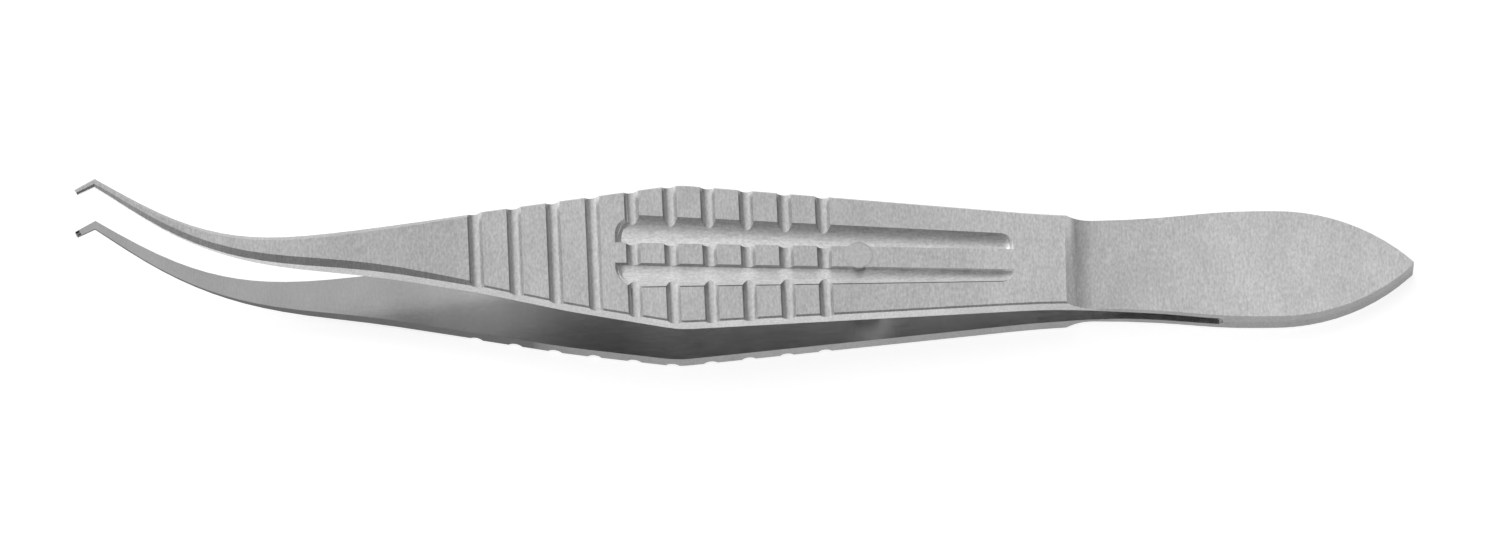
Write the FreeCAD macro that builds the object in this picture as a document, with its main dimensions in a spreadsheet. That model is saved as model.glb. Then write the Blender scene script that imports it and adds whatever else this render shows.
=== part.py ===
import FreeCAD, Part
import math
import os
import Sketcher

# Thumb forceps for eye surgery: two mirrored spring arms welded at a leaf-shaped tail,
# with fluted and cross-grooved handles, slender curved necks and toothed, angled tips.
# Local frame: the tail's nose is at zero, the tips point along -X, and the arms spread
# apart from the weld plane Z = 0. A station is a distance from the nose. All in mm.

V = FreeCAD.Vector
doc = FreeCAD.newDocument("thumb_forceps")

# Driving sizes
SIZES = {
    # leaf-shaped tail and spring
    "tail_thickness": 0.72,
    "weld_length": 10.8,
    "slot_half_gap": 0.36,
    "slot_end_radius": 0.33,
    "nose_radius": 0.15,
    "nose_station": -0.05,
    "leaf_width": 6.5,
    "leaf_arch_station": 3.4,
    "leaf_arch_radius": 11.0,
    "leaf_shoulder_station": 10.5,
    "leaf_shoulder_radius": 32.0,
    "waist_station": 17.5,
    "waist_corner_width": 5.0,
    "waist_radius": 54.0,
    "spring_station": 16.4,
    "spring_inner_height": 0.44,
    "spring_blend_radius": 8.0,
    "heel_root_height": 0.86,
    "heel_root_radius": 1.8,
    "heel_run": 0.8,
    # handle
    "heel_station": 19.6,
    "heel_outer_height": 1.7,
    "heel_inner_station": 20.4,
    "heel_inner_height": 0.815,
    "outer_face_angle": 3.43,
    "inner_face_angle": 3.34,
    "handle_width": 8.52,
    "handle_bias": 0.08,
    "handle_widest_setback": 11.3,
    "handle_corner_radius": 6.0,
    "near_swell": 0.13,
    "near_swell_setback": 5.2,
    "near_swell_radius": 40.0,
    "handle_edge_break": 0.09,
    # flutes
    "land_width": 1.24,
    "land_bias": 0.1,
    "flute_front_setback": 7.9,
    "flute_rear_station": 22.6,
    "flute_front_reach": 2.28,
    "flute_rear_reach": 1.48,
    "flute_front_radius": 1.3,
    "flute_rear_radius": 0.7,
    "flute_depth": 0.34,
    "flute_form_radius": 1.35,
    # cross grooves
    "groove_width": 0.82,
    "groove_depth": 0.33,
    "groove_skew": 1.3,
    "front_groove_reach": 0.04,
    "front_groove_pitch": 2.205,
    "land_groove_setback": 0.88,
    "land_groove_pitch": 2.14,
    # neck
    "neck_station": 52.6,
    "flare_reach": 3.1,
    "throat_reach": 5.9,
    "bend_reach": 9.3,
    "neck_offset": 0.12,
    "bend_radius": 17.2,
    "bend_angle": 33.6,
    "shaft_length": 3.0,
    "neck_root_width": 4.5,
    "neck_root_bevel": 0.2,
    "flare_width": 3.44,
    "flare_side": 0.82,
    "flare_bevel": 0.27,
    "throat_width": 2.6,
    "throat_side": 0.8,
    "throat_bevel": 0.32,
    "bend_start_width": 1.86,
    "bend_start_side": 0.65,
    "bend_start_bevel": 0.34,
    "bend_middle_width": 1.12,
    "bend_middle_side": 0.27,
    "bend_middle_bevel": 0.28,
    "bend_end_width": 0.62,
    "bend_end_side": 0.18,
    "bend_end_bevel": 0.19,
    # angled tip and teeth
    "elbow_width": 0.42,
    "elbow_side": 0.15,
    "elbow_bevel": 0.13,
    "tip_length": 1.2,
    "tip_droop": 29.0,
    "tip_width": 0.34,
    "tip_side": 0.14,
    "tip_bevel": 0.1,
    "tooth_width": 0.14,
    "tooth_depth": 0.13,
    "tooth_length": 0.22,
    "tooth_spread": 0.17,
    # guide pin
    "pin_station": 31.2,
    "pin_diameter": 1.6,
    "pin_end_radius": 0.6,
    "pin_rest_gap": 0.6,
    "pin_hole_clearance": 0.1,
}

FRONT_GROOVES = 4
LAND_GROOVES = 6

sheet = doc.addObject("Spreadsheet::Sheet", "Sizes")
for line, (alias, amount) in enumerate(SIZES.items(), start=1):
    sheet.set(f"A{line}", alias)
    sheet.set(f"B{line}", str(amount))
    sheet.setAlias(f"B{line}", alias)
doc.recompute()


def of(alias):
    """The expression that reads one size."""
    return f"Sizes.{alias}"


def half(alias):
    """The expression for half of one size."""
    return f"(Sizes.{alias} / 2)"


def negative(expression):
    """The expression with its sign turned."""
    return f"(-({expression}))"


def at_station(expression):
    """The place along X of a station."""
    return negative(expression)


# Heights of the handle's two faces above the weld plane
def outer_height(station):
    return f"(Sizes.heel_outer_height + ({station} - Sizes.heel_station) * tan(Sizes.outer_face_angle))"


def inner_height(station):
    return f"(Sizes.heel_inner_height + ({station} - Sizes.heel_inner_station) * tan(Sizes.inner_face_angle))"


# Places that follow the handle's front, where the neck starts
WIDEST_STATION = "(Sizes.neck_station - Sizes.handle_widest_setback)"
SWELL_STATION = "(Sizes.neck_station - Sizes.near_swell_setback)"
FLUTE_FRONT_STATION = "(Sizes.neck_station - Sizes.flute_front_setback)"
FLARE_STATION = "(Sizes.neck_station + Sizes.flare_reach)"
THROAT_STATION = "(Sizes.neck_station + Sizes.throat_reach)"
BEND_STATION = "(Sizes.neck_station + Sizes.bend_reach)"

# The heel's concave wall, and the largest radius that it has room for
HEEL_RISE = "(Sizes.heel_outer_height - Sizes.heel_root_height)"
HEEL_WALL = f"sqrt(Sizes.heel_run ^ 2 + {HEEL_RISE} ^ 2)"
HEEL_ROOM = f"(0.95 * {HEEL_WALL} * ({HEEL_WALL} + Sizes.heel_run) / {HEEL_RISE})"

JAW_HEIGHT = inner_height(of("neck_station"))
BEND_END_STATION = f"({BEND_STATION} + Sizes.bend_radius * sin(Sizes.bend_angle))"
BEND_END_OFFSET = "(Sizes.neck_offset + Sizes.bend_radius * (1 - cos(Sizes.bend_angle)))"
ELBOW_STATION = f"({BEND_END_STATION} + Sizes.shaft_length * cos(Sizes.bend_angle))"
ELBOW_OFFSET = f"({BEND_END_OFFSET} + Sizes.shaft_length * sin(Sizes.bend_angle))"
TIP_STATION = f"({ELBOW_STATION} + Sizes.tip_length * cos(Sizes.tip_droop))"
TIP_OFFSET = f"({ELBOW_OFFSET} - Sizes.tip_length * sin(Sizes.tip_droop))"
MITRE_HEADING = "((Sizes.bend_angle - Sizes.tip_droop) / 2)"
HALF_TURN = "((Sizes.bend_angle + Sizes.tip_droop) / 2)"

# Lying pose: the tail's nose and the front of the lower handle touch the table
FRONT_HEIGHT = outer_height(of("neck_station"))
LIE_ANGLE = f"atan(({FRONT_HEIGHT} - Sizes.tail_thickness) / Sizes.neck_station)"
TIP_REACH = f"({TIP_STATION} + Sizes.tip_width / 2 * sin(Sizes.tip_droop))"
TIP_HEIGHT = f"({JAW_HEIGHT} + Sizes.tip_side)"
NOSE_REACH = f"(Sizes.tail_thickness * sin({LIE_ANGLE}))"
FRONT_REACH = f"({TIP_REACH} * cos({LIE_ANGLE}) + {TIP_HEIGHT} * sin({LIE_ANGLE}))"
FAR_REACH = f"({ELBOW_OFFSET} + Sizes.elbow_width / 2 / cos({HALF_TURN}))"
LYING = (
    f"placement(vector(({FRONT_REACH} - {NOSE_REACH}) / 2; "
    f"(Sizes.handle_width / 2 + Sizes.handle_bias - {FAR_REACH}) / 2; "
    f"Sizes.tail_thickness * cos({LIE_ANGLE})); "
    f"rotation(vector(0; 1; 0); {LIE_ANGLE}))"
)


def number(expression):
    """The plain value of an expression of sizes."""
    answer = sheet.evalExpression(expression)
    return float(getattr(answer, "Value", answer))


def new_body(name):
    body = doc.addObject("PartDesign::Body", name)
    body.Label = name
    return body


def new_sketch(body, name, role, offset=None):
    """A sketch on one of the body's own origin planes."""
    plane = next(f for f in body.Origin.OriginFeatures if f.Role == role)
    sketch = body.newObject("Sketcher::SketchObject", name)
    sketch.AttachmentSupport = (plane, "")
    sketch.MapMode = "FlatFace"
    if offset:
        sketch.setExpression("AttachmentOffset", offset)
    return sketch


def pin_down(sketch, geometry, point, place):
    """Hold one point of a sketch at a place given by two expressions."""
    for kind, expression in zip(("DistanceX", "DistanceY"), place):
        held = Sketcher.Constraint(kind, -1, 1, geometry, point, number(expression))
        index = sketch.addConstraint(held)
        sketch.setExpression(f"Constraints[{index}]", expression)


def draw_outline(sketch, corners):
    """A closed outline of straight sides: corners are (x, y) or (x, y, rounding radius)."""
    count = len(corners)
    points = [V(number(c[0]), number(c[1]), 0) for c in corners]
    starts, ends, arcs = [], [], {}
    for i, corner in enumerate(corners):
        point = points[i]
        before = (points[i - 1] - point).normalize()
        after = (points[(i + 1) % count] - point).normalize()
        if len(corner) < 3:
            starts.append(point)
            ends.append(point)
            continue
        radius = number(corner[2])
        half_angle = before.getAngle(after) / 2
        bisector = (before + after).normalize()
        reach = radius / math.tan(half_angle)
        centre = point + bisector * (radius / math.sin(half_angle))
        first = point + before * reach
        last = point + after * reach
        middle = centre - bisector * radius
        ends.append(first)
        starts.append(last)
        arcs[i] = (first, middle, last)
    sides = []
    for i in range(count):
        side = Part.LineSegment(starts[i], ends[(i + 1) % count])
        sides.append(sketch.addGeometry(side))
    for i, corner in enumerate(corners):
        side_in = sides[i - 1]
        side_out = sides[i]
        if i not in arcs:
            sketch.addConstraint(Sketcher.Constraint("Coincident", side_in, 2, side_out, 1))
            pin_down(sketch, side_out, 1, corner)
            continue
        arc = sketch.addGeometry(Part.Arc(*arcs[i]))
        arc_start = sketch.getPoint(arc, 1)
        start_is_first = arc_start.distanceToPoint(arcs[i][0]) < arc_start.distanceToPoint(arcs[i][2])
        near, far = (1, 2) if start_is_first else (2, 1)
        sketch.addConstraint(Sketcher.Constraint("Tangent", side_in, 2, arc, near))
        sketch.addConstraint(Sketcher.Constraint("Tangent", side_out, 1, arc, far))
        mark = sketch.addGeometry(Part.Point(points[i]), True)
        pin_down(sketch, mark, 1, corner)
        sketch.addConstraint(Sketcher.Constraint("PointOnObject", mark, 1, side_in))
        sketch.addConstraint(Sketcher.Constraint("PointOnObject", mark, 1, side_out))
        index = sketch.addConstraint(Sketcher.Constraint("Radius", arc, number(corner[2])))
        sketch.setExpression(f"Constraints[{index}]", corner[2])


# The shared arm
def plan_corners(sign, bias):
    """One edge of the tail and handle seen from above, from nose to neck."""
    return [
        (at_station(of("leaf_arch_station")), sign + half("leaf_width"), of("leaf_arch_radius")),
        (at_station(of("leaf_shoulder_station")), sign + half("leaf_width"), of("leaf_shoulder_radius")),
        (at_station(of("waist_station")), sign + half("waist_corner_width"), of("waist_radius")),
        (at_station(WIDEST_STATION), f"{sign}({half('handle_width')} {bias} Sizes.handle_bias)",
         of("handle_corner_radius")),
        (at_station(of("neck_station")), sign + half("neck_root_width")),
    ]


def near_swell_corner():
    """The near edge swells a little beyond the straight line from the widest place to the neck."""
    share = "(Sizes.near_swell_setback / Sizes.handle_widest_setback)"
    narrow = half("neck_root_width")
    straight = f"({narrow} + ({half('handle_width')} + Sizes.handle_bias - {narrow}) * {share})"
    return at_station(SWELL_STATION), negative(f"{straight} + Sizes.near_swell"), of("near_swell_radius")


def side_corners():
    """The arm seen from the side, from the nose along the outer face and back."""
    front = of("neck_station")
    heel_radius = f"min(Sizes.heel_root_radius; {HEEL_ROOM})"
    return [
        ("0", "0"),
        ("0", of("tail_thickness")),
        (at_station("(Sizes.heel_station - Sizes.heel_run)"), of("heel_root_height"), heel_radius),
        (at_station(of("heel_station")), of("heel_outer_height")),
        (at_station(front), outer_height(front)),
        (at_station(front), inner_height(front)),
        (at_station(of("heel_inner_station")), of("heel_inner_height"), of("spring_blend_radius")),
        (at_station(of("spring_station")), of("spring_inner_height"), of("spring_blend_radius")),
        (at_station(of("weld_length")), of("slot_half_gap"), of("slot_end_radius")),
        (at_station(of("weld_length")), "0"),
    ]


def forge_strip(body):
    """The spring strip in side profile, then milled to the plan outline."""
    profile = new_sketch(body, "side_profile", "XZ_Plane")
    draw_outline(profile, side_corners())
    strip = body.newObject("PartDesign::Pad", "strip")
    strip.Profile = profile
    strip.setExpression("Length", "Sizes.handle_width * 2")
    strip.Midplane = True
    plan = new_sketch(body, "plan_outline", "XY_Plane")
    far = plan_corners("", "-")
    near = plan_corners("-", "+")
    near.insert(-1, near_swell_corner())
    nose = (at_station(of("nose_station")), "0", of("nose_radius"))
    draw_outline(plan, [nose] + far + near[::-1])
    beyond = "(Sizes.neck_station * 2)"
    aside = "(Sizes.handle_width * 1.5)"
    draw_outline(plan, [(beyond, aside), (negative(beyond), aside),
                        (negative(beyond), negative(aside)), (beyond, negative(aside))])
    milling = body.newObject("PartDesign::Pocket", "milled_outline")
    milling.Profile = plan
    milling.Type = "ThroughAll"
    milling.Midplane = True
    doc.recompute()
    return milling


def break_edges(body, base):
    """A small bevel along the two long edges of the handle's outer face."""
    slope = number("tan(Sizes.outer_face_angle)")
    heel = number(of("heel_station"))
    height = number(of("heel_outer_height"))

    def on_outer_face(point):
        return abs(point.z - height - (-point.x - heel) * slope) < 1e-4

    names = []
    for index, edge in enumerate(base.Shape.Edges, start=1):
        first, last = edge.firstVertex().Point, edge.lastVertex().Point
        if on_outer_face(first) and on_outer_face(last) and first.y * last.y > 0:
            names.append(f"Edge{index}")
    bevel = body.newObject("PartDesign::Chamfer", "edge_break")
    bevel.Base = (base, names)
    bevel.setExpression("Size", of("handle_edge_break"))
    doc.recompute()


def neck_section(body, name, station, offset, heading, width, side, bevel):
    """One section across the neck: flat inner face, upright sides, bevelled outer edges."""
    place = (f"placement(vector({offset}; {JAW_HEIGHT}; {at_station(station)}); "
             f"rotation(vector(0; 1; 0); {negative(heading)}))")
    sketch = new_sketch(body, name, "YZ_Plane", place)
    wide = f"({width} / 2)"
    narrow = f"({width} / 2 - {bevel})"
    top = f"({side} + {bevel})"
    draw_outline(sketch, [
        (negative(wide), "0"), (wide, "0"), (wide, side),
        (narrow, top), (negative(narrow), top), (negative(wide), side),
    ])
    return sketch


def drifted(station):
    """Offset of the neck's centre where it eases from the handle's axis into the bend."""
    return f"(Sizes.neck_offset * ({station} - Sizes.neck_station) / Sizes.bend_reach)"


def on_bend(share):
    """Station, offset and heading at a share of the way round the neck's bend."""
    heading = f"(Sizes.bend_angle * {share})"
    station = f"({BEND_STATION} + Sizes.bend_radius * sin({heading}))"
    offset = f"(Sizes.neck_offset + Sizes.bend_radius * (1 - cos({heading})))"
    return station, offset, heading


def neck_and_tip(body):
    """The tapering neck swept round its bend, and the angled tip beyond a mitred elbow."""
    neck_thickness = f"({FRONT_HEIGHT} - {JAW_HEIGHT})"
    root_side = f"({neck_thickness} - Sizes.neck_root_bevel)"
    straight = [
        ("neck_root", of("neck_station"), of("neck_root_width"), root_side, of("neck_root_bevel")),
        ("flare", FLARE_STATION, of("flare_width"), of("flare_side"), of("flare_bevel")),
        ("throat", THROAT_STATION, of("throat_width"), of("throat_side"), of("throat_bevel")),
    ]
    sections = [neck_section(body, name, station, drifted(station), "0", width, side, bevel)
                for name, station, width, side, bevel in straight]
    for name, share in (("bend_start", 0), ("bend_middle", 0.5), ("bend_end", 1)):
        sections.append(neck_section(
            body, name, *on_bend(share),
            of(f"{name}_width"), of(f"{name}_side"), of(f"{name}_bevel")))
    mitre = neck_section(body, "elbow", ELBOW_STATION, ELBOW_OFFSET, MITRE_HEADING,
                         f"(Sizes.elbow_width / cos({HALF_TURN}))", of("elbow_side"), of("elbow_bevel"))
    tip_end = neck_section(body, "tip_end", TIP_STATION, TIP_OFFSET, negative(of("tip_droop")),
                           of("tip_width"), of("tip_side"), of("tip_bevel"))
    doc.recompute()
    neck = body.newObject("PartDesign::AdditiveLoft", "neck")
    neck.Profile = sections[0]
    neck.Sections = sections[1:] + [mitre]
    doc.recompute()
    tip = body.newObject("PartDesign::AdditiveLoft", "angled_tip")
    tip.Profile = mitre
    tip.Sections = [tip_end]
    doc.recompute()


def flute_cutter(side, bias):
    """The form cutter of one flute: a rounded plan shape over a shallow round floor."""
    blank = new_body(f"{side}_flute_plan")
    plan = new_sketch(blank, f"{side}_flute_outline", "XY_Plane")
    land_edge = f"({half('land_width')} {bias} Sizes.land_bias)"
    front, rear = at_station(FLUTE_FRONT_STATION), at_station(of("flute_rear_station"))
    draw_outline(plan, [
        (front, land_edge), (rear, land_edge),
        (rear, of("flute_rear_reach"), of("flute_rear_radius")),
        (front, of("flute_front_reach"), of("flute_front_radius")),
    ])
    column = blank.newObject("PartDesign::Pad", f"{side}_flute_column")
    column.Profile = plan
    column.setExpression("Length", "Sizes.handle_width")
    floor = doc.addObject("Part::Cylinder", f"{side}_flute_floor")
    floor.setExpression("Radius", of("flute_form_radius"))
    floor.setExpression("Height", "Sizes.neck_station * 2")
    rise = "(Sizes.flute_form_radius - Sizes.flute_depth)"
    half_chord = f"sqrt(Sizes.flute_form_radius ^ 2 - {rise} ^ 2)"
    taper = ("atan((Sizes.flute_front_reach - Sizes.flute_rear_reach)"
             f" / ({FLUTE_FRONT_STATION} - Sizes.flute_rear_station))")
    rear_height = outer_height(of("flute_rear_station"))
    start = (f"vector({at_station(of('flute_rear_station'))}; "
             f"Sizes.flute_rear_reach - {half_chord}; {rear_height} + {rise})")
    axis = (f"rotation({negative(taper)}; Sizes.outer_face_angle; 0)"
            " * rotation(vector(0; 1; 0); -90)")
    back_up = "placement(vector(0; 0; -Sizes.neck_station); rotation(0; 0; 0))"
    floor.setExpression("Placement", f"placement({start}; {axis}) * {back_up}")
    cutter = doc.addObject("Part::Common", f"{side}_flute_cutter")
    cutter.Base = blank
    cutter.Tool = floor
    return cutter


def groove_cutter(name, station):
    """One round-bottomed cross groove, cut across the outer face at a slight skew."""
    cutter = doc.addObject("Part::Cylinder", name)
    radius = "((Sizes.groove_width ^ 2 / 4 + Sizes.groove_depth ^ 2) / (2 * Sizes.groove_depth))"
    cutter.setExpression("Radius", radius)
    cutter.setExpression("Height", "Sizes.handle_width * 2")
    centre = (f"vector({at_station(station)}; 0; "
              f"{outer_height(station)} + {radius} - Sizes.groove_depth)")
    across = "rotation(Sizes.groove_skew; 0; 0) * rotation(vector(1; 0; 0); -90)"
    back_up = "placement(vector(0; 0; -Sizes.handle_width); rotation(0; 0; 0))"
    cutter.setExpression("Placement", f"placement({centre}; {across}) * {back_up}")
    return cutter


def groove_cutters():
    """Full-width grooves by the neck, then the grooves across the flutes' lands."""
    cutters = []
    for i in range(FRONT_GROOVES):
        station = f"(Sizes.neck_station + Sizes.front_groove_reach - {i} * Sizes.front_groove_pitch)"
        cutters.append(groove_cutter(f"front_groove_{i + 1}", station))
    for i in range(LAND_GROOVES):
        station = f"({FLUTE_FRONT_STATION} - Sizes.land_groove_setback - {i} * Sizes.land_groove_pitch)"
        cutters.append(groove_cutter(f"land_groove_{i + 1}", station))
    return cutters


def teeth(name, places):
    """Small triangular teeth under the end of the tip, pointing at the other arm."""
    body = new_body(name)
    place = (f"placement(vector({TIP_OFFSET}; {JAW_HEIGHT}; {at_station(TIP_STATION)}); "
             f"rotation(vector(0; 1; 0); Sizes.tip_droop))")
    sketch = new_sketch(body, f"{name}_profile", "YZ_Plane", place)
    root = "Sizes.tip_side / 2"
    for place in places:
        draw_outline(sketch, [
            (f"({place} - Sizes.tooth_width / 2)", root),
            (f"({place} - Sizes.tooth_width / 2)", "0"),
            (place, negative(of("tooth_depth"))),
            (f"({place} + Sizes.tooth_width / 2)", "0"),
            (f"({place} + Sizes.tooth_width / 2)", root),
        ])
    pad = body.newObject("PartDesign::Pad", f"{name}_pad")
    pad.Profile = sketch
    pad.setExpression("Length", of("tooth_length"))
    return body


def joined(kind, name, *members):
    """A boolean of several members."""
    result = doc.addObject(kind, name)
    result.Shapes = list(members)
    return result


def cut(name, base, tool):
    result = doc.addObject("Part::Cut", name)
    result.Base = base
    result.Tool = tool
    return result


def mirrored(name, source, normal):
    result = doc.addObject("Part::Mirroring", name)
    result.Source = source
    result.Normal = normal
    return result


def pin_bore(name, clearance):
    """A bore through an arm for the guide pin."""
    bore = doc.addObject("Part::Cylinder", name)
    bore.setExpression("Radius", f"Sizes.pin_diameter / 2 + {clearance}")
    bore.setExpression("Height", "Sizes.handle_width")
    bore.setExpression("Placement", f"placement(vector({at_station(of('pin_station'))}; 0; 0);"
                                    " rotation(0; 0; 0))")
    return bore


def make_arms():
    blank = new_body("arm_blank")
    break_edges(blank, forge_strip(blank))
    neck_and_tip(blank)
    flutes = [flute_cutter("far", "-"), mirrored("near_flute", flute_cutter("near", "+"), V(0, 1, 0))]
    worked = cut("worked_arm", blank, joined("Part::MultiFuse", "handle_cutters", *flutes, *groove_cutters()))
    single = teeth("single_tooth", ["0"])
    pair = teeth("paired_teeth", [negative(half("tooth_spread")), half("tooth_spread")])
    toothed = joined("Part::MultiFuse", "upper_toothed", worked, single)
    upper = cut("upper_arm", toothed, pin_bore("pin_seat", "0"))
    paired = joined("Part::MultiFuse", "lower_toothed", worked, pair)
    bored = cut("lower_bored", paired, pin_bore("pin_clearance_hole", "Sizes.pin_hole_clearance"))
    lower = mirrored("lower_arm", bored, V(0, 0, 1))
    return [upper, lower]


def make_guide_pin():
    """The pin pressed through the upper arm and ground flush, its round end short of the lower one."""
    body = new_body("guide_pin")
    station = of("pin_station")
    sketch = new_sketch(body, "pin_profile", "XZ_Plane",
                        f"placement(vector({at_station(station)}; 0; 0); rotation(0; 0; 0))")
    low = f"(Sizes.pin_rest_gap - {inner_height(station)})"
    proud = f"({outer_height(station)} + Sizes.pin_diameter)"
    side = half("pin_diameter")
    draw_outline(sketch, [("0", low), (side, low, of("pin_end_radius")), (side, proud), ("0", proud)])
    pin = body.newObject("PartDesign::Revolution", "pin")
    pin.Profile = sketch
    pin.ReferenceAxis = (sketch, ["V_Axis"])
    pin.Angle = 360
    waste = new_sketch(body, "ground_off", "XZ_Plane")
    front, rear = f"({station} + Sizes.pin_diameter)", f"({station} - Sizes.pin_diameter)"
    above = f"({proud} + Sizes.pin_diameter)"
    draw_outline(waste, [
        (at_station(front), outer_height(front)), (at_station(rear), outer_height(rear)),
        (at_station(rear), above), (at_station(front), above),
    ])
    doc.recompute()
    ground = body.newObject("PartDesign::Pocket", "ground_flush")
    ground.Profile = waste
    ground.Type = "ThroughAll"
    ground.Midplane = True
    return body


pieces = make_arms() + [make_guide_pin()]
for piece in pieces:
    piece.Label = piece.Name
    piece.setExpression("Placement", LYING)
doc.recompute()

for item in doc.Objects:
    if "Invalid" in item.State or "Error" in item.State:
        raise RuntimeError(f"{item.Name} failed: {item.State}")

os.makedirs("parts", exist_ok=True)
for piece in pieces:
    shape = piece.Shape
    if shape.isNull() or not shape.isValid() or len(shape.Solids) != 1:
        raise RuntimeError(f"{piece.Label} is not one sound solid")
for piece in pieces:
    piece.Shape.exportStep(f"parts/{piece.Label}.step")
    box = piece.Shape.BoundBox
    print(piece.Label, round(piece.Shape.Volume, 3), box)
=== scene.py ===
import math

import bmesh
import bpy
from mathutils import Matrix, Vector


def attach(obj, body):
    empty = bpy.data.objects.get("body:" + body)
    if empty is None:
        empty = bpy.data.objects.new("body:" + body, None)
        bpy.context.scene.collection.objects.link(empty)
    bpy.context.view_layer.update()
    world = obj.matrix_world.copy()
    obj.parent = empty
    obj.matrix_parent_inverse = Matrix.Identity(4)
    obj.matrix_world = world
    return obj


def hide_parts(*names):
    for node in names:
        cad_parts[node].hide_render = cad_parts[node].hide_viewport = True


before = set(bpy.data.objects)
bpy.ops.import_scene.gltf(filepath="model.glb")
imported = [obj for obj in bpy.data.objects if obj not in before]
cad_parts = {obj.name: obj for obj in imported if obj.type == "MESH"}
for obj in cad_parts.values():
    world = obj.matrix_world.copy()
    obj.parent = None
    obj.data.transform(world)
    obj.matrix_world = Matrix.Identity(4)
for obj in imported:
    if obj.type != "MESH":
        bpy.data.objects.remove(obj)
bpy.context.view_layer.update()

# How the forceps lies: the arms' weld plane is pitched so that the tips are up
LIE_PITCH = math.radians(3.2186)
TAIL_NOSE = Vector((0.0375247, -0.0002798, 0.0007189))
LIE = Matrix.Translation(TAIL_NOSE) @ Matrix.Rotation(LIE_PITCH, 4, "Y")
MM = 0.001

# The camera, given in the arms' own frame: right and up across the picture
VIEW_RIGHT = Vector((0.9996, -0.0184, 0.0191))
VIEW_UP = Vector((0.0086, 0.906, 0.4222))
VIEW_TARGET = Vector((-0.03752, 0.0, 0.0))
VIEW_WIDTH = 0.0835
VIEW_DISTANCE = 1.2
SENSOR_WIDTH = 36.0

# The studio: brightness of the surroundings along one axis, from the dark near right
# to the bright far left and overhead, and one soft lamp at the left
STUDIO_AXIS = (-0.6, 0.62, 0.7)
STUDIO_STEPS = [(-0.6, 0.16), (-0.28, 0.18), (0.1, 0.23), (0.4, 0.45),
                (0.69, 0.82), (0.89, 0.97), (1.0, 1.08), (1.12, 1.15)]
KEY_PLACE = Vector((-0.45, 0.0, 0.5))
KEY_SIZE, KEY_POWER = 0.3, 0.3
WHITE = (1.0, 1.0, 1.0, 1.0)

# The paper underneath: its half width, its own white, and where it is seen, how much
# of that takes the shadow and how much is plain white
FLOOR_HALF = 3.0
PAPER, SHADED_PAPER, PLAIN_WHITE = 0.8, 0.5, 0.78

# The flutes' finished grinding, in millimetres and degrees of the arms' own frame: along from
# the tail's nose, across from the middle, and down from the handle's outer face
HEEL_STATION, HEEL_HEIGHT = 19.6, 1.7
FACE_SLOPE = math.tan(math.radians(3.43))
FLUTE_REAR, FLUTE_FRONT, FLUTE_RUN_OUT = 22.5, 44.85, 0.35
LAND_HALF, LAND_BIAS = 0.62, 0.1
REAR_REACH, FRONT_REACH = 1.48, 2.28
REAR_RADIUS, FRONT_RADIUS = 0.7, 1.3
REAR_SLOPES, FRONT_SLOPES = (50.0, 0.0), (44.0, -19.0)

# How finely the grinding is cut, and what tells a flute's floor from the faces around it
FLUTE_STEPS, FLUTE_ROWS = 48, 20
RIM_CLEARANCE, LID_HEIGHT = 0.002, 0.5
FLUTE_TOP, FLUTE_BOTTOM, LAND_MARGIN = 0.004, 0.62, 0.01
MERGE_DISTANCE = 1e-7
SHARP_ANGLE = math.radians(24)

# Finish of the steel
STEEL_COLOUR = (0.65, 0.65, 0.65)
FACE_ROUGHNESS, PIN_ROUGHNESS = 0.37, 0.48
BRUSHED_ROUGHNESS = (FACE_ROUGHNESS - 0.05, FACE_ROUGHNESS + 0.05)
POLISHED_ROUGHNESS = (0.18, 0.25)
FACE_METALLIC, RISING_METALLIC = 0.75, 0.15
# The flutes' floor is painted paler, and its rising side gets a painted highlight
FLUTE_PAINTED_BRIGHTNESS, RISING_PAINTED_HIGHLIGHT = 1.2, 1.18
RELIEF_STRENGTH, RELIEF_DEPTH = 0.25, 0.000006

# Texture of the steel, in cells per metre along, across and up
STROKES = (12000.0, 900.0, 900.0)
GRAIN = (8500.0, 4200.0, 8500.0)
BLOTCHES = (420.0, 260.0, 420.0)
SCRATCHES = (900.0, 5200.0, 900.0)
FLUTE_STROKES = (900.0, 9000.0, 900.0)
FLUTE_GRAIN = (5200.0, 8500.0, 8500.0)
PIN_GRAIN = (5200.0, 5200.0, 5200.0)

# The middle part of each noise, which carries its whole change
EVEN_NOISE, GRAIN_NOISE = (0.3, 0.7), (0.3, 0.72)
BRUSHED_NOISE, POLISHED_NOISE = (0.25, 0.75), (0.3, 0.8)

# How far each texture changes the brightness either way, and its share between the arms
GRAIN_SPREAD, STROKE_SPREAD, BLOTCH_SPREAD = 0.15, 0.06, 0.06
FLUTE_GRAIN_SPREAD, FLUTE_STROKE_SPREAD = 0.14, 0.08
PIN_SHADES = (0.84, 1.04)
INNER_TEXTURE = 0.25

# Which faces are the inner ones and which are edges, by the upright part of their normal,
# and where along the forceps the grooves end
INNER_FROM, INNER_TO = 0.9, 0.97
EDGE_FADE, UPPER_EDGE_LIMIT, LOWER_EDGE_LIMIT = 0.2, 0.35, 0.9
GROOVES_END, GROOVES_GONE = 0.010, 0.012

# Painted light and shade in the tone of each kind of face: pairs of place along the forceps and
# factor
# Outer faces: painted shade towards the tips and just past the heel, and a painted highlight on
# the heel
FACE_PAINTED_SHADING = [(-0.03, 0.78), (-0.0165, 0.79), (-0.0145, 0.88), (-0.01, 0.92), (0.0, 0.88),
              (0.01, 0.88), (0.0155, 1.0), (0.0178, 1.0), (0.0186, 1.25), (0.0194, 0.82),
              (0.0205, 0.84), (0.023, 0.9), (0.028, 1.0)]
# Face between the arms: painted shade towards the tips, and painted light towards the tail and
# in the slot
INNER_PAINTED_SHADING = [(-0.018, 0.59), (-0.0145, 0.67), (-0.009, 0.58), (-0.005, 0.78), (0.003, 0.91),
               (0.014, 1.13), (0.019, 1.2), (0.022, 1.5)]
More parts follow.
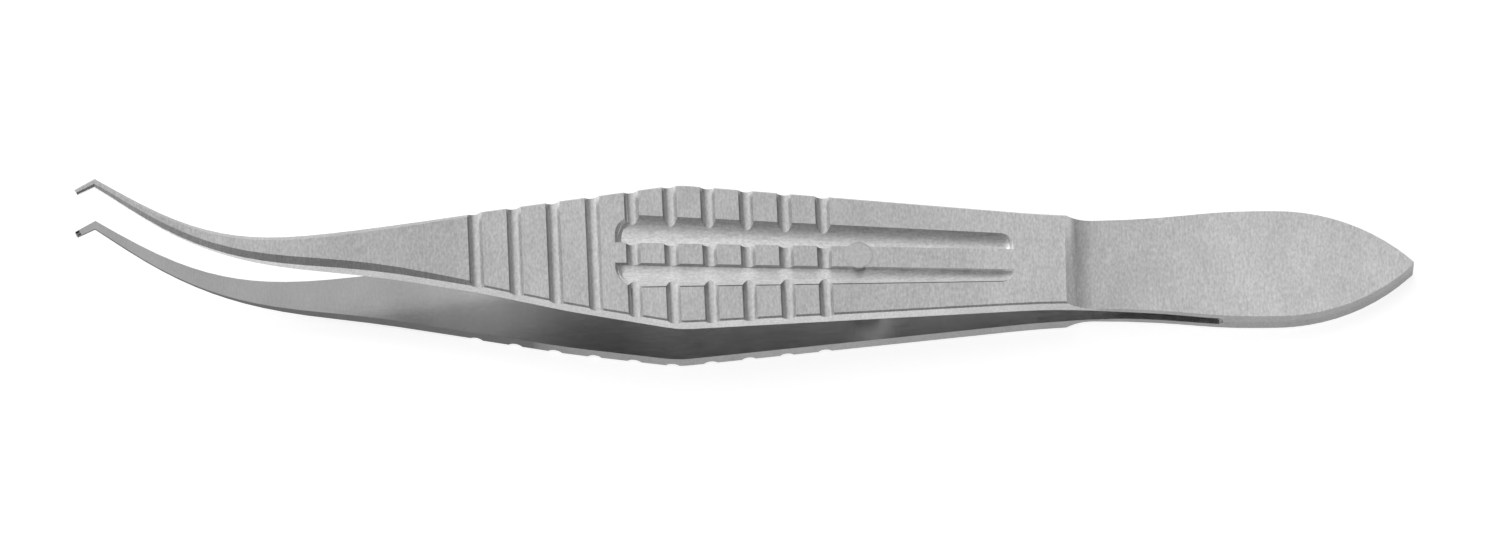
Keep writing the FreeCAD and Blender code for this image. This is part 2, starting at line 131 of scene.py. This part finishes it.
# Upper arm's edges: a painted highlight towards the tips, and painted shade past the heel
UPPER_EDGE_PAINTED_SHADING = [(-0.033, 1.5), (-0.026, 1.0), (0.014, 1.0), (0.02, 0.56)]
# Lower arm's edges: painted shade, darkest towards the tips
LOWER_EDGE_PAINTED_SHADE = [(-0.012, 0.16), (-0.004, 0.54), (0.014, 0.54), (0.02, 0.5)]

# Painted light and shade on the grooves' walls, lighter where they face the tips and darker
# where
# they face the tail: pairs of the normal's part along and factor
WALL_PAINTED_SHADING = [(-0.8, 1.35), (-0.25, 1.0), (0.25, 1.0), (0.8, 0.6)]

# A painted shadow line inside the flutes' near edge, by the distance from it, and the flutes'
# rising side, less metallic and with a painted highlight, by the normal's part across
PAINTED_SHADOW_FROM, PAINTED_SHADOW_TO, PAINTED_SHADOW_TONE = 0.00007, 0.00011, 0.08
RISING_FROM, RISING_TO = 0.08, 0.4

# The pin's rim, by the distance from its middle as a share of its width
PIN_MIDDLE, LEVEL_PART = (0.5, 0.5, 0.0), (1.0, 1.0, 0.0)
RIM_FROM, RIM_TO, RIM_TONE = 0.45, 0.48, 0.8


def place_camera():
    """A long lens above the near side, as the photograph was taken."""
    right = VIEW_RIGHT.normalized()
    back = right.cross(VIEW_UP).normalized()
    up = back.cross(right)
    turn = Matrix((right, up, back)).transposed().to_4x4()
    here = Matrix.Translation(VIEW_TARGET + back * VIEW_DISTANCE)
    data = bpy.data.cameras.new("camera")
    data.sensor_width = SENSOR_WIDTH
    data.lens = SENSOR_WIDTH * VIEW_DISTANCE / VIEW_WIDTH
    data.clip_start = 0.01
    data.clip_end = 20.0
    camera = bpy.data.objects.new("camera", data)
    bpy.context.scene.collection.objects.link(camera)
    camera.matrix_world = LIE @ here @ turn
    bpy.context.scene.camera = camera


def new_material(name):
    """An empty material and its node tree."""
    material = bpy.data.materials.new(name)
    material.use_nodes = True
    material.node_tree.nodes.clear()
    return material, material.node_tree


def feed(tree, socket, value):
    """Set a socket to a number, or join it to another node's output."""
    if isinstance(value, (int, float)):
        socket.default_value = value
    else:
        tree.links.new(value, socket)


def add_node(tree, kind, **values):
    """A node with its properties (lower case) and unlinked inputs (capitalised) set."""
    node = tree.nodes.new(kind)
    for name, value in values.items():
        if name[0].isupper():
            node.inputs[name.replace("_", " ")].default_value = value
        else:
            setattr(node, name, value)
    return node


def calculate(tree, operation, *values):
    """A sum on one or two sockets or numbers."""
    node = add_node(tree, "ShaderNodeMath", operation=operation)
    for socket, value in zip(node.inputs, values):
        feed(tree, socket, value)
    return node.outputs[0]


def calculate_vector(tree, operation, socket, constant=None):
    """A sum on a vector socket and, for some, a constant vector."""
    node = add_node(tree, "ShaderNodeVectorMath", operation=operation)
    tree.links.new(socket, node.inputs[0])
    if constant:
        node.inputs[1].default_value = constant
    return node.outputs


def remap(tree, value, from_low, from_high, to_low, to_high):
    """One range stretched onto another, and held level beyond its ends."""
    node = add_node(tree, "ShaderNodeMapRange", From_Min=from_low, From_Max=from_high,
                    To_Min=to_low, To_Max=to_high)
    tree.links.new(value, node.inputs["Value"])
    return node.outputs[0]


def vary(tree, noise, middle, spread):
    """A factor around one that follows the middle part of a noise."""
    return remap(tree, noise, *middle, 1 - spread, 1 + spread)


def follow(tree, value, points):
    """A smooth curve through pairs of input and output, held level beyond the ends."""
    low, high = points[0][0], points[-1][0]
    top = max(level for at, level in points)
    curve = tree.nodes.new("ShaderNodeFloatCurve")
    steps = curve.mapping.curves[0].points
    for at, level in points[1:-1]:
        steps.new((at - low) / (high - low), level / top)
    steps[0].location = (0.0, points[0][1] / top)
    steps[-1].location = (1.0, points[-1][1] / top)
    curve.mapping.update()
    tree.links.new(remap(tree, value, low, high, 0.0, 1.0), curve.inputs["Value"])
    return calculate(tree, "MULTIPLY", curve.outputs["Value"], top)


def where(tree, mask, tone):
    """The tone where the mask is one, and one where it is nought."""
    missing = calculate(tree, "MULTIPLY", mask, calculate(tree, "SUBTRACT", 1.0, tone))
    return calculate(tree, "SUBTRACT", 1.0, missing)


def stretched_noise(tree, place, scale, detail):
    """Noise with its own scale along each axis, in cells per metre."""
    stretch = add_node(tree, "ShaderNodeMapping", Scale=scale)
    tree.links.new(place, stretch.inputs["Vector"])
    noise = add_node(tree, "ShaderNodeTexNoise", Scale=1.0, Detail=detail)
    tree.links.new(stretch.outputs[0], noise.inputs["Vector"])
    return noise.outputs["Fac"]


def surface_places(tree):
    """A surface point's place, then that place and the way it faces, each by axis."""
    coordinates = tree.nodes.new("ShaderNodeTexCoord").outputs
    split = []
    for name in ("Object", "Normal"):
        node = tree.nodes.new("ShaderNodeSeparateXYZ")
        tree.links.new(coordinates[name], node.inputs[0])
        split.append(node.outputs)
    return coordinates["Object"], split[0], split[1]


def finish_steel(tree, shade, relief, roughness, metallic, brightness=1.0):
    """The one steel grey, scaled by a shade, with a fine relief."""
    link = tree.links.new
    tint = add_node(tree, "ShaderNodeVectorMath", operation="SCALE")
    tint.inputs[0].default_value = [brightness * part for part in STEEL_COLOUR]
    link(shade, tint.inputs["Scale"])
    bump = add_node(tree, "ShaderNodeBump", Strength=RELIEF_STRENGTH, Distance=RELIEF_DEPTH)
    link(relief, bump.inputs["Height"])
    steel = tree.nodes.new("ShaderNodeBsdfPrincipled")
    link(tint.outputs[0], steel.inputs["Base Color"])
    link(bump.outputs[0], steel.inputs["Normal"])
    feed(tree, steel.inputs["Roughness"], roughness)
    feed(tree, steel.inputs["Metallic"], metallic)
    out = tree.nodes.new("ShaderNodeOutputMaterial")
    link(steel.outputs[0], out.inputs["Surface"])


def steel_material(name, inner_side, edge_limit, edge_painted_shading):
    """Satin stainless steel, cross-brushed outside and smoother on the face between the arms,
    with painted light and shade in its tone along the forceps and on the grooves' walls.
    """
    material, tree = new_material(name)
    place, along, facing = surface_places(tree)
    inner = remap(tree, facing["Z"], inner_side * INNER_FROM, inner_side * INNER_TO, 0.0, 1.0)
    upright = calculate(tree, "ABSOLUTE", facing["Z"])
    edge = remap(tree, upright, edge_limit - EDGE_FADE, edge_limit, 1.0, 0.0)
    outer = calculate(tree, "MULTIPLY", calculate(tree, "SUBTRACT", 1.0, inner),
                      calculate(tree, "SUBTRACT", 1.0, edge))
    grooved = calculate(tree, "MULTIPLY", outer,
                        remap(tree, along["X"], GROOVES_END, GROOVES_GONE, 1.0, 0.0))

    strokes = stretched_noise(tree, place, STROKES, detail=2.0)
    grain = stretched_noise(tree, place, GRAIN, detail=2.0)
    blotches = stretched_noise(tree, place, BLOTCHES, detail=3.0)
    scratches = stretched_noise(tree, place, SCRATCHES, detail=1.0)

    texture = calculate(tree, "MULTIPLY", vary(tree, grain, GRAIN_NOISE, GRAIN_SPREAD),
                        vary(tree, strokes, EVEN_NOISE, STROKE_SPREAD))
    texture = where(tree, remap(tree, inner, 0.0, 1.0, 1.0, INNER_TEXTURE), texture)
    shade = calculate(tree, "MULTIPLY", vary(tree, blotches, EVEN_NOISE, BLOTCH_SPREAD), texture)
    # Painted light and shade: tones along the forceps on the faces, the face between the arms
    # and the edges, and by facing on the grooves' walls
    for mask, value, tones in ((outer, along["X"], FACE_PAINTED_SHADING),
                               (inner, along["X"], INNER_PAINTED_SHADING),
                               (edge, along["X"], edge_painted_shading),
                               (grooved, facing["X"], WALL_PAINTED_SHADING)):
        shade = calculate(tree, "MULTIPLY", shade, where(tree, mask, follow(tree, value, tones)))

    brushed = remap(tree, strokes, *BRUSHED_NOISE, *BRUSHED_ROUGHNESS)
    polished = remap(tree, scratches, *POLISHED_NOISE, *POLISHED_ROUGHNESS)
    choose = tree.nodes.new("ShaderNodeMix")
    for socket, value in (("Factor", inner), ("A", brushed), ("B", polished)):
        tree.links.new(value, choose.inputs[socket])
    finish_steel(tree, shade, calculate(tree, "ADD", strokes, grain), choose.outputs["Result"],
                 remap(tree, inner, 0.0, 1.0, FACE_METALLIC, 1.0))
    return material


def flute_material():
    """The flutes' freshly ground floor: painted paler, matt and with a painted highlight on its
    rising side, and with a painted shadow line along the near edge.
    """
    material, tree = new_material("flute_steel")
    place, along, facing = surface_places(tree)
    strokes = stretched_noise(tree, place, FLUTE_STROKES, detail=2.0)
    grain = stretched_noise(tree, place, FLUTE_GRAIN, detail=2.0)
    shade = calculate(tree, "MULTIPLY", vary(tree, grain, GRAIN_NOISE, FLUTE_GRAIN_SPREAD),
                      vary(tree, strokes, EVEN_NOISE, FLUTE_STROKE_SPREAD))
    # A painted shadow line along the near flute's outer edge, by the distance from that edge
    front, rear = (TAIL_NOSE.x - station * MM * math.cos(LIE_PITCH)
                   for station in (FLUTE_FRONT, FLUTE_REAR))
    reach = remap(tree, along["X"], front, rear, -FRONT_REACH * MM, -REAR_REACH * MM)
    inside = calculate(tree, "SUBTRACT", along["Y"],
                       calculate(tree, "ADD", reach, TAIL_NOSE.y))
    painted_edge_shadow = remap(tree, inside, PAINTED_SHADOW_FROM, PAINTED_SHADOW_TO, PAINTED_SHADOW_TONE, 1.0)
    rising = remap(tree, facing["Y"], RISING_FROM, RISING_TO, 0.0, 1.0)
    # A painted highlight on the rising side
    shade = calculate(tree, "MULTIPLY", shade,
                      remap(tree, rising, 0.0, 1.0, 1.0, RISING_PAINTED_HIGHLIGHT))
    # The whole floor is painted paler
    finish_steel(tree, calculate(tree, "MULTIPLY", shade, painted_edge_shadow),
                 calculate(tree, "ADD", strokes, grain), FACE_ROUGHNESS,
                 remap(tree, rising, 0.0, 1.0, 1.0, RISING_METALLIC), FLUTE_PAINTED_BRIGHTNESS)
    return material


def pin_material():
    """The pin's ground end: the same steel with a rounder, coarser grain and a faint rim."""
    material, tree = new_material("pin_steel")
    coordinates = tree.nodes.new("ShaderNodeTexCoord").outputs
    grain = stretched_noise(tree, coordinates["Object"], PIN_GRAIN, detail=3.0)
    offset = calculate_vector(tree, "SUBTRACT", coordinates["Generated"], PIN_MIDDLE)[0]
    level = calculate_vector(tree, "MULTIPLY", offset, LEVEL_PART)[0]
    distance = calculate_vector(tree, "LENGTH", level)["Value"]
    rim = remap(tree, distance, RIM_FROM, RIM_TO, 1.0, RIM_TONE)
    shade = calculate(tree, "MULTIPLY", rim, remap(tree, grain, *GRAIN_NOISE, *PIN_SHADES))
    finish_steel(tree, shade, grain, PIN_ROUGHNESS, 1.0)
    return material


def floor_material():
    """White paper that looks white and still takes the shadow."""
    material, tree = new_material("floor_paper")
    link = tree.links.new
    paper = add_node(tree, "ShaderNodeBsdfDiffuse", Color=(PAPER, PAPER, PAPER, 1.0))
    shaded = add_node(tree, "ShaderNodeBsdfDiffuse",
                      Color=(SHADED_PAPER, SHADED_PAPER, SHADED_PAPER, 1.0))
    glow = add_node(tree, "ShaderNodeEmission", Color=WHITE, Strength=PLAIN_WHITE)
    both = tree.nodes.new("ShaderNodeAddShader")
    pick = tree.nodes.new("ShaderNodeMixShader")
    path = tree.nodes.new("ShaderNodeLightPath").outputs
    out = tree.nodes.new("ShaderNodeOutputMaterial")
    seen = calculate(tree, "MAXIMUM", path["Is Camera Ray"], path["Is Glossy Ray"])
    seen = calculate(tree, "MAXIMUM", seen, path["Is Transmission Ray"])
    link(shaded.outputs[0], both.inputs[0])
    link(glow.outputs[0], both.inputs[1])
    link(seen, pick.inputs[0])
    link(paper.outputs[0], pick.inputs[1])
    link(both.outputs[0], pick.inputs[2])
    link(pick.outputs[0], out.inputs["Surface"])
    return material


def add_floor():
    """A wide square of paper, level with what the forceps rests on."""
    mesh = bpy.data.meshes.new("floor")
    mesh.from_pydata([(x * FLOOR_HALF, y * FLOOR_HALF, 0)
                      for x, y in ((-1, -1), (1, -1), (1, 1), (-1, 1))], [], [(0, 1, 2, 3)])
    floor = bpy.data.objects.new("floor", mesh)
    bpy.context.scene.collection.objects.link(floor)
    mesh.materials.append(floor_material())


def flute_course(station):
    """The share of the flutes' length at a station, and their outer edge's distance across."""
    along = (station - FLUTE_REAR) / (FLUTE_FRONT - FLUTE_REAR)
    return along, REAR_REACH + (FRONT_REACH - REAR_REACH) * along


def face_height(station):
    """Height of the handle's outer face above the weld plane."""
    return HEEL_HEIGHT + (station - HEEL_STATION) * FACE_SLOPE


def flute_depth(share, width, along):
    """Depth of a flute at a share of its width from its outer edge: a round floor."""
    outer, inner = (math.radians(rear + (front - rear) * along)
                    for rear, front in zip(REAR_SLOPES, FRONT_SLOPES))
    radius = width / (math.sin(outer) - math.sin(inner))
    here = math.asin(math.sin(outer) - share * (math.sin(outer) - math.sin(inner)))
    return radius * (math.cos(here) - math.cos(outer))


def corner_inset(share, width, radius):
    """How far a rounded outer corner draws the flute's end back at a share of its width."""
    inside = radius - share * width
    if inside <= 0:
        return 0.0
    return radius - math.sqrt(radius ** 2 - min(inside, radius) ** 2)


def flute_grids(side, arm):
    """The ground floor of one flute and a lid above it, as matching grids of points."""
    land_edge = LAND_HALF - side * LAND_BIAS
    floor, lid = [], []
    for row in range(FLUTE_ROWS + 1):
        share = row / FLUTE_ROWS
        first = FLUTE_REAR + corner_inset(share, REAR_REACH - land_edge, REAR_RADIUS)
        last = FLUTE_FRONT - corner_inset(share, FRONT_REACH - land_edge, FRONT_RADIUS)
        for step in range(FLUTE_STEPS + 1):
            # The steps crowd towards both ends, where the floor runs out in a curve
            station = first + (last - first) * (1 - math.cos(math.pi * step / FLUTE_STEPS)) / 2
            along, reach = flute_course(station)
            width = reach - land_edge
            across = side * (reach - share * width)
            from_end = min(station - first, last - station) / FLUTE_RUN_OUT
            run_out = math.sin(min(from_end, 1.0) * math.pi / 2)
            depth = flute_depth(share, width, along) * run_out - RIM_CLEARANCE
            face = face_height(station)
            floor.append((-station, across, arm * (face - depth)))
            lid.append((-station, across, arm * (face + LID_HEIGHT)))
    return floor, lid


def closed_faces(rows, steps):
    """The faces that close a body between two matching grids of points."""
    wide = steps + 1
    count = wide * (rows + 1)
    faces = []
    for row in range(rows):
        for step in range(steps):
            a = row * wide + step
            faces.append((a, a + 1, a + wide + 1, a + wide))
            faces.append(tuple(i + count for i in (a, a + wide, a + wide + 1, a + 1)))
    rim = list(range(wide)) + [row * wide + steps for row in range(1, rows + 1)]
    rim += [rows * wide + step for step in range(steps - 1, -1, -1)]
    rim += [row * wide for row in range(rows - 1, 0, -1)]
    for a, b in zip(rim, rim[1:] + rim[:1]):
        faces.append((b, a, a + count, b + count))
    return faces


def flute_cutter(side, arm):
    """A closed mesh of what the grinding takes out of one flute of one arm."""
    floor, lid = flute_grids(side, arm)
    mesh = bpy.data.meshes.new("flute_cutter")
    mesh.from_pydata([Vector(point) * MM for point in floor + lid], [],
                     closed_faces(FLUTE_ROWS, FLUTE_STEPS))
    mesh.transform(LIE)
    work = bmesh.new()
    work.from_mesh(mesh)
    bmesh.ops.recalc_face_normals(work, faces=work.faces)
    work.to_mesh(mesh)
    work.free()
    cutter = bpy.data.objects.new("flute_cutter", mesh)
    bpy.context.scene.collection.objects.link(cutter)
    return cutter


def in_flute(point, arm):
    """Whether a point of the arm's surface lies on the floor or a wall of a flute."""
    local = LIE.inverted() @ point / MM
    along, reach = flute_course(-local.x)
    land_edge = LAND_HALF - math.copysign(LAND_BIAS, local.y)
    depth = face_height(-local.x) - arm * local.z
    return (0 < along < 1 and land_edge - LAND_MARGIN < abs(local.y) < reach
            and FLUTE_TOP < depth < FLUTE_BOTTOM)


def copy_arm(node):
    """A copy of an arm's mesh with its facets joined up, as a new piece."""
    work = bmesh.new()
    work.from_mesh(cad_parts[node].data)
    bmesh.ops.remove_doubles(work, verts=work.verts, dist=MERGE_DISTANCE)
    mesh = bpy.data.meshes.new(f"{node}_finished")
    work.to_mesh(mesh)
    work.free()
    # Normals kept from the uncut face would shade the new one wrongly
    if "custom_normal" in mesh.attributes:
        mesh.attributes.remove(mesh.attributes["custom_normal"])
    piece = bpy.data.objects.new(f"{node}_finished", mesh)
    bpy.context.scene.collection.objects.link(piece)
    return piece


def cut_away(piece, cutters):
    """Take the cutters' volume out of a piece, and then the cutters themselves."""
    for cutter in cutters:
        cut = piece.modifiers.new("flute", "BOOLEAN")
        cut.operation = "DIFFERENCE"
        cut.solver = "EXACT"
        cut.object = cutter
    bpy.context.view_layer.update()
    ground = piece.evaluated_get(bpy.context.evaluated_depsgraph_get())
    finished = bpy.data.meshes.new_from_object(ground)
    piece.modifiers.clear()
    piece.data = finished
    for cutter in cutters:
        bpy.data.objects.remove(cutter)


def grind_flutes(node, arm):
    """The arm with its two flutes ground to their finished depth."""
    piece = copy_arm(node)
    cut_away(piece, [flute_cutter(side, arm) for side in (1, -1)])
    for face in piece.data.polygons:
        face.use_smooth = True
        face.material_index = int(in_flute(face.center, arm))
    piece.data.set_sharp_from_angle(angle=SHARP_ANGLE)
    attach(piece, "root")
    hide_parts(node)
    return piece


def dress(piece, *materials):
    """Give a piece its finishes, one for each material slot."""
    while len(piece.data.materials) < len(materials):
        piece.data.materials.append(None)
    for slot, material in zip(piece.material_slots, materials):
        slot.link = "OBJECT"
        slot.material = material


def add_key_lamp():
    """A soft square lamp, aimed at the forceps' middle."""
    data = bpy.data.lights.new("key", "AREA")
    data.shape = "RECTANGLE"
    data.size = data.size_y = KEY_SIZE
    data.energy = KEY_POWER
    light = bpy.data.objects.new("key", data)
    bpy.context.scene.collection.objects.link(light)
    light.location = KEY_PLACE
    light.rotation_euler = (-KEY_PLACE).to_track_quat("-Z", "Y").to_euler()


def light_studio():
    """Soft surroundings: white overhead and to the left, falling to dark at the near right."""
    world = bpy.data.worlds.new("studio")
    world.use_nodes = True
    bpy.context.scene.world = world
    tree = world.node_tree
    tree.nodes.clear()
    direction = tree.nodes.new("ShaderNodeTexCoord").outputs["Generated"]
    along = calculate_vector(tree, "DOT_PRODUCT", direction, STUDIO_AXIS)["Value"]
    glow = add_node(tree, "ShaderNodeBackground", Color=WHITE)
    tree.links.new(follow(tree, along, STUDIO_STEPS), glow.inputs["Strength"])
    out = tree.nodes.new("ShaderNodeOutputWorld")
    tree.links.new(glow.outputs[0], out.inputs["Surface"])
    add_key_lamp()


place_camera()
add_floor()
flute_steel = flute_material()
for node, arm, edge_limit, edge_painted_shading in (
        ("upper_arm", 1, UPPER_EDGE_LIMIT, UPPER_EDGE_PAINTED_SHADING),
        ("lower_arm", -1, LOWER_EDGE_LIMIT, LOWER_EDGE_PAINTED_SHADE)):
    dress(grind_flutes(node, arm),
          steel_material(f"{node}_steel", -float(arm), edge_limit, edge_painted_shading), flute_steel)
dress(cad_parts["guide_pin"], pin_material())
light_studio()
bpy.context.scene.view_settings.view_transform = "Standard"
